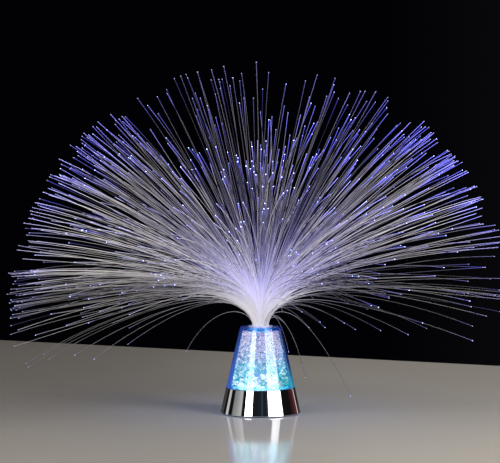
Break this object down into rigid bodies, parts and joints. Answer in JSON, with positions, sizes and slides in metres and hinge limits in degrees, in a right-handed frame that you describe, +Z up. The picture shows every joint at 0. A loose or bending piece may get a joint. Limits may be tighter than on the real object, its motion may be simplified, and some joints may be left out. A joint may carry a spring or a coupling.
{
  "type": "fiber optic lamp",
  "caption": "Battery table lamp: a fountain of optical fibers plugs into a clear cone of acrylic crystals on a chrome base, with a slide switch and a battery door underneath.",
  "frame": {"origin": "centre of the lamp's footprint, on the surface that it stands on", "axes": "+Z up along the lamp's axis; +X along the battery cells; +Y towards the slide switch under the base"},
  "size_m": [0.4723, 0.4715, 0.3269],
  "materials": {
    "foot_rubber": "matte",
    "cover_black": "satin",
    "door_black": "satin",
    "screw_steel": "satin",
    "cell_wrap": "gloss",
    "spring_steel": "polished",
    "contact_metal": "satin",
    "switch_steel": "satin",
    "switch_knob": "satin",
    "chrome_skirt": "polished",
    "board_green": "satin",
    "led_lens": "gloss",
    "led_white": "gloss",
    "chip_black": "matte",
    "lead_red": "satin",
    "lead_black": "satin",
    "clear_lens": "gloss",
    "clear_cone": "polished",
    "clear_tube": "gloss",
    "crystal": "gloss",
    "bush_plastic": "gloss",
    "plug_plastic": "satin",
    "fiber_core": "gloss",
    "fiber": "gloss"
  },
  "bodies": {
    "base": {"foot_pads": "foot_rubber", "bottom_cover": "cover_black", "cover_screws": "screw_steel", "battery_1": "cell_wrap", "battery_2": "cell_wrap", "battery_3": "cell_wrap", "contact_springs": "spring_steel", "contact_plates": "contact_metal", "switch_body": "switch_steel", "base_shell": "chrome_skirt", "led_board": "board_green", "deck_screws": "screw_steel", "center_led": "led_lens", "crystal_leds": "led_white", "controller_chip": "chip_black", "board_resistors": "chip_black", "battery_leads": "lead_red", "switch_leads": "lead_black", "floor_lens": "clear_lens", "crystal_cone": "clear_cone", "light_tube": "clear_tube", "crystals_lower": "crystal", "crystals_middle": "crystal", "crystals_upper": "crystal"},
    "door": {"battery_door": "door_black"},
    "switch": {"switch_slider": "switch_knob"},
    "socket": {"socket_bush": "bush_plastic"},
    "spray": {"spray_plug": "plug_plastic", "fiber_bundle": "fiber_core", "strands_core": "fiber", "strands_inner": "fiber", "strands_middle": "fiber", "strands_outer": "fiber", "strands_skirt": "fiber", "stray_strands": "fiber"}
  },
  "joints": [
    {"name": "door_hinge", "type": "hinge", "parent": "base", "child": "door", "pos_m": [-0.0257, 0, 0.0022], "axis": [0, 1, 0], "range_deg": [0, 100]},
    {"name": "switch_slide", "type": "slide", "parent": "base", "child": "switch", "axis": [1, 0, 0], "range_m": [-0.003, 0]},
    {"name": "socket_spin", "type": "hinge", "parent": "base", "child": "socket", "pos_m": [0, 0, 0], "axis": [0, 0, 1], "continuous": true},
    {"name": "spray_lift", "type": "slide", "parent": "socket", "child": "spray", "axis": [0, 0, 1], "range_m": [0, 0.056]}
  ]
}
